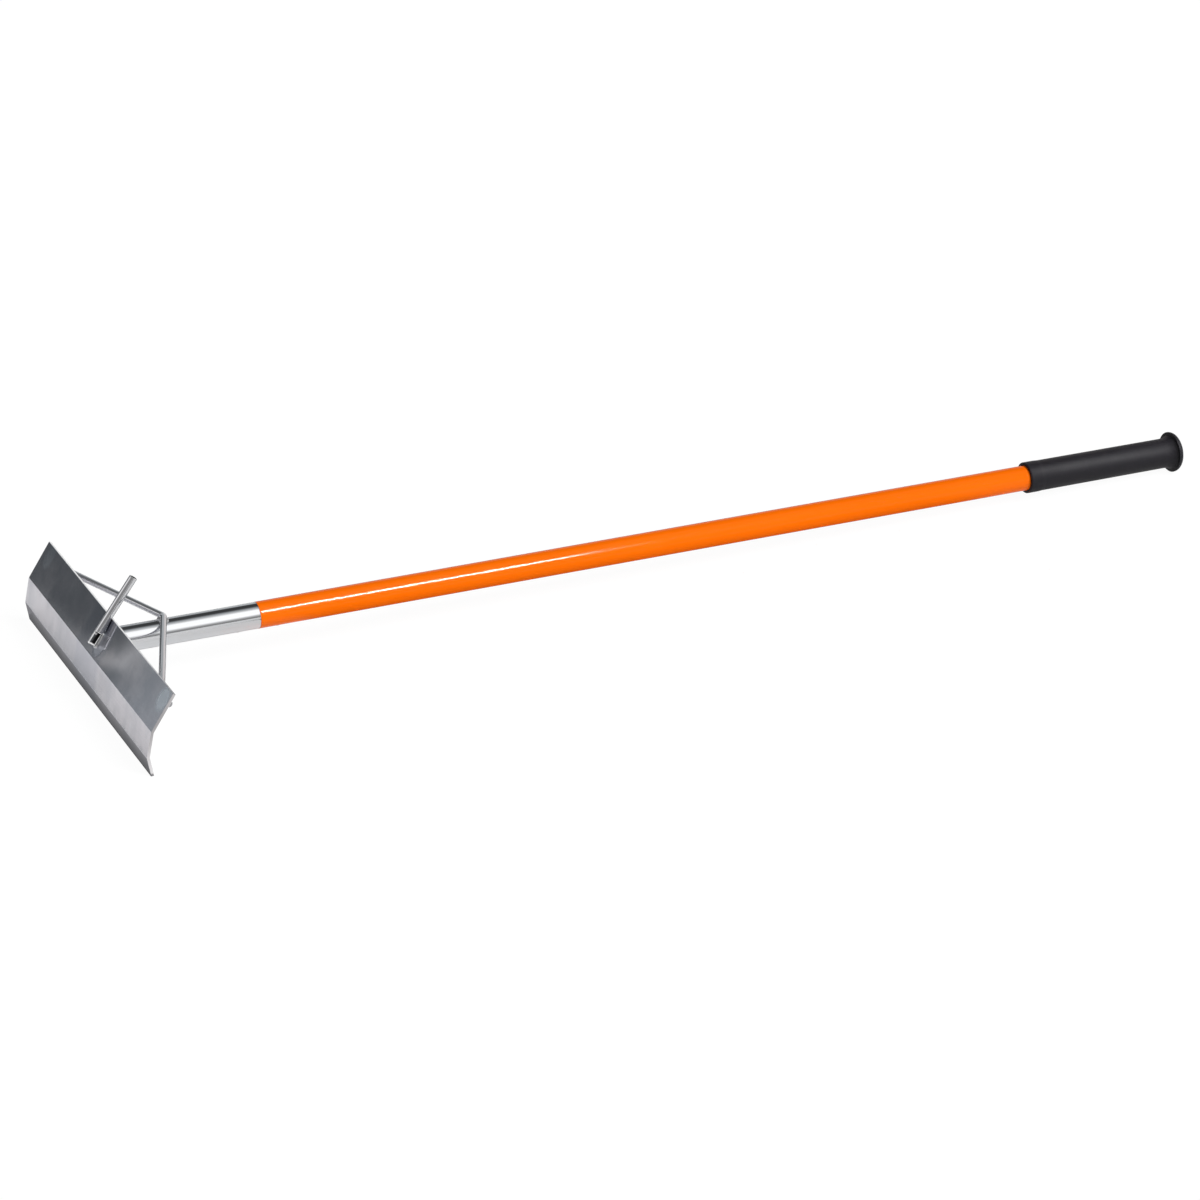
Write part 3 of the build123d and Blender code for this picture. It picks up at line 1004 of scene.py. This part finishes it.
def overhead_card(name, finish, distance, degrees, ends):
    """Card bent round the handle's line at a distance, over a stretch of degrees up from the right."""
    rows = []
    for angle in evenly(*degrees, spacing=4.0):
        side = distance * cos(radians(angle))
        height = handle_level + distance * sin(radians(angle))
        rows.append([Vector((side, end, height)) for end in ends])
    card = stage_sheet(name, rows, finish.owner)
    reflected_only(card)
    return card


def standing_card(name, finish, degrees, heights):
    """Card bent round the blade, far off, over a stretch of compass degrees from the right."""
    rows = []
    for height in heights:
        row = []
        for compass in evenly(*degrees, spacing=5.0):
            way = Vector((cos(radians(compass)), sin(radians(compass)), 0.0))
            row.append(way * standing_distance + Vector((0, 0, height)))
        rows.append(row)
    reflected_only(stage_sheet(name, rows, finish.owner))


def floor_card(name, finish, sides, ends, height):
    """Card lying flat just over the floor."""
    rows = [[Vector((side, end, height)) for side in sides] for end in ends]
    reflected_only(stage_sheet(name, rows, finish.owner))


def round_the_handle(finish):
    """Angle round the handle's line, in degrees up from the right, and the reach along it in metres."""
    x, y, z = finish.axes(finish.place())
    return angle_round(finish, z - handle_level, x), y


def softbox_core(angle):
    """Share of a long light's full strength, by the angle round the handle."""
    return angle.ease(16, 38) * (1 - angle.ease(66, 90))


def hang_softbox():
    """Long light at the upper right: dim at its front end, full over the head, weaker along the sleeve."""
    finish = new_finish("softbox_cloth")
    angle, reach = round_the_handle(finish)
    full = softbox_core(angle) * (1 - reach.ease(0.95, 1.42))
    past_front = 0.1 + reach.ease(0.10, 0.22) * 0.9
    glowing(finish, white, (0.45 + full) * past_front)
    overhead_card("softbox", finish, softbox_distance, degrees=(14, 84), ends=(-0.5, 3.0))


def hang_flagged_light(name, target, finish, tone, degrees, ends):
    """Bright card under the softbox that is flagged off all but one piece; the rest looks through it."""
    glow = finish.node("ShaderNodeEmission", None, {"Color": finish.stretched(tone, white)})
    clear = finish.node("ShaderNodeBsdfTransparent")
    finish.show(finish.node("ShaderNodeAddShader", None, {0: glow, 1: clear}))
    card = overhead_card(name, finish, flagged_distance, degrees, ends)
    lit = bpy.data.collections.new(f"{name}_target")
    lit.objects.link(target)
    card.light_linking.receiver_collection = lit


def hang_strip_light(sleeve):
    """Narrow strip that the sleeve mirrors as a white line, which fades half way along it."""
    finish = new_finish("strip_light_cloth")
    angle, reach = round_the_handle(finish)
    core = angle.ease(37, 45) * (1 - angle.ease(48, 56))
    tone = core * (1 - reach.ease(1.22, 1.43)) * strip_strength
    hang_flagged_light("strip_light", sleeve, finish, tone, degrees=(37, 56), ends=(0.68, 1.44))


def hang_grip_light(grip):
    """Fill that the grip mirrors as a soft sheen."""
    finish = new_finish("grip_light_cloth")
    angle, _ = round_the_handle(finish)
    tone = softbox_core(angle) * grip_fill_strength
    hang_flagged_light("grip_light", grip, finish, tone, degrees=(14, 84), ends=(2.2, 3.0))


def hang_ceiling_flag():
    """Dark curved flag overhead and down to the floor at the left, lighter at its edges."""
    cool_white = (0.94, 0.97, 1.0)
    rosy_white = (1.0, 0.93, 0.92)
    finish = new_finish("ceiling_flag_cloth")
    angle, reach = round_the_handle(finish)
    near = (1 - angle.ease(80, 112)) * 0.68
    far = angle.ease(138, 156) * (0.5 + reach.ease(1.05, 1.5) * 0.25)
    front = (1 - reach.ease(-0.2, 0.5)) * 0.1
    tint = finish.mix(reach.ease(1.2, 2.6), cool_white, rosy_white)
    glowing(finish, tint, 0.06 + near + far + front)
    overhead_card("ceiling_flag", finish, ceiling_distance, degrees=(78, 178), ends=(-2.5, 6.0))


def stand_side_flag():
    """Dark flag at the left, mirrored in the blade's top strip: a curved bright slit and lighter edges."""
    cool_white = (0.88, 0.95, 1.0)
    warm_white = (1.0, 0.98, 0.94)
    slit_side = -0.639
    slit_half = 0.02
    bend_height = 0.184
    bend = 40.0
    edge_tone = 0.45
    finish = new_finish("side_flag_cloth")
    _, y, z = finish.axes(finish.place())
    below = (bend_height - z).larger(0.0)
    from_slit = y - below * below * bend - slit_side
    slit = from_slit.ease(-slit_half, 0.0) * (1 - from_slit.ease(0.0, slit_half))
    middle = 1 - y.ease(-0.665, -0.615)
    front = 1 - y.ease(-0.72, -0.66)
    tone = 0.118 + middle * 0.12 + front * 0.16 + slit * 0.7
    edges = z.ease(0.34, 0.5).larger(y.ease(0.02, 0.15))
    tint = finish.mix(slit, cool_white, warm_white)
    glowing(finish, tint, tone.larger(edges * edge_tone))
    rows = [[Vector((-1.0, end, height)) for end in (-0.9, 0.16)] for height in (0.0, 0.5)]
    reflected_only(stage_sheet("side_flag", rows, finish.owner))


def stand_front_flag():
    """Grey flag from the left front round to the camera, with a window of light straight ahead."""
    finish = new_finish("front_flag_cloth")
    x, y, z = finish.axes(finish.place())
    compass = angle_round(finish, y, x)
    wide = compass.ease(-130, -122) * (1 - compass.ease(-94, -78))
    high = z.ease(0.95, 1.06) * (1 - z.ease(1.85, 2.0))
    glowing(finish, flag_white, 0.3 + wide * high * 0.75)
    standing_card("front_flag", finish, degrees=(-165, -20), heights=(0.0, 3.2))


def stand_camera_band():
    """Dark low band to the right, mirrored as a line along the bare tube."""
    dark_grey = (0.3, 0.3, 0.3)
    finish = new_finish("camera_band_cloth")
    glowing(finish, dark_grey)
    standing_card("camera_band", finish, degrees=(-20, 44), heights=(0.2, 1.1))


def lay_floor_flag():
    """Grey cloth on the floor at the right of the blade, mirrored in the hook."""
    finish = new_finish("floor_flag_cloth")
    x, y, _ = finish.axes(finish.place())
    tone = 0.88 - x.ease(0.22, 0.4) * (1 - y.ease(0.05, 0.17)) * 0.5
    glowing(finish, flag_white, tone)
    floor_card("floor_flag", finish, sides=(0.265, 3.2), ends=(-3.0, 0.29), height=0.002)


def lay_painted_lip_shadow():
    """Painted shadow: a dark strip on the floor at the blade's foot, mirrored in the lip."""
    cool_white = (0.97, 0.98, 1.0)
    finish = new_finish("painted_lip_shadow_cloth")
    _, y, _ = finish.axes(finish.place())
    # Painted shadow, darkest next to the blade's foot
    tone = 0.62 - y.ease(-0.020, -0.0115) * 0.36 - y.ease(-0.0125, -0.004) * 0.09
    glowing(finish, cool_white, tone)
    floor_card("painted_lip_shadow", finish, sides=(-0.35, 0.265), ends=(-0.03, -0.002), height=0.0004)


def lay_painted_handle_shadow():
    """Painted shadow: a dark sheet on the floor along the handle, mirrored in the underside of the sleeve
    and the grip.
    """
    finish = new_finish("painted_handle_shadow_cloth")
    _, y, _ = finish.axes(finish.place())
    # Painted shadow under the sleeve, lighter under the grip
    glowing(finish, white, 0.78 - y.ease(0.30, 0.34) * 0.7 + y.ease(1.3, 1.4) * 0.55)
    floor_card("painted_handle_shadow", finish, sides=(-0.6, 0.35), ends=(0.29, 2.3), height=0.001)


def lay_left_flag():
    """Grey cloth on the floor at the left of the blade, mirrored in the brace's left leg."""
    dark_grey = (0.27, 0.27, 0.28)
    finish = new_finish("left_flag_cloth")
    glowing(finish, dark_grey)
    floor_card("left_flag", finish, sides=(-0.95, -0.26), ends=(-0.02, 0.285), height=0.001)


def hang_sun():
    """Broad key light from the right, behind and above; mirrors don't show it."""
    lamp = bpy.data.lights.new("key_light", "SUN")
    lamp.energy = sun_strength
    lamp.angle = radians(sun_spread)
    made = bpy.data.objects.new("key_light", lamp)
    bpy.context.scene.collection.objects.link(made)
    made.rotation_mode = "QUATERNION"
    made.rotation_quaternion = sun_from.to_track_quat("Z", "Y")
    made.visible_glossy = False


def set_camera():
    """The photograph's viewpoint: a long lens from the right front, above."""
    place = Vector((4.4871, -1.3338, 2.3651))
    aim = Vector((0.1834, 0.6495, 0.0797))
    roll = radians(-0.476)
    camera = bpy.data.cameras.new("photo_camera")
    camera.lens = 119.7
    camera.sensor_width = 36.0
    camera.clip_end = 100.0
    made = bpy.data.objects.new("photo_camera", camera)
    bpy.context.scene.collection.objects.link(made)
    made.location = place
    made.rotation_mode = "QUATERNION"
    made.rotation_quaternion = (aim - place).to_track_quat("-Z", "Y") @ Quaternion((0, 0, 1), roll)
    bpy.context.scene.camera = made


rake_sleeve, rake_grip = dress_rake()
light_world()
lay_floor()
hang_softbox()
hang_strip_light(rake_sleeve)
hang_grip_light(rake_grip)
hang_ceiling_flag()
stand_side_flag()
stand_front_flag()
stand_camera_band()
lay_floor_flag()
lay_painted_lip_shadow()
lay_painted_handle_shadow()
lay_left_flag()
hang_sun()
set_camera()
bpy.context.scene.view_settings.view_transform = "Standard"
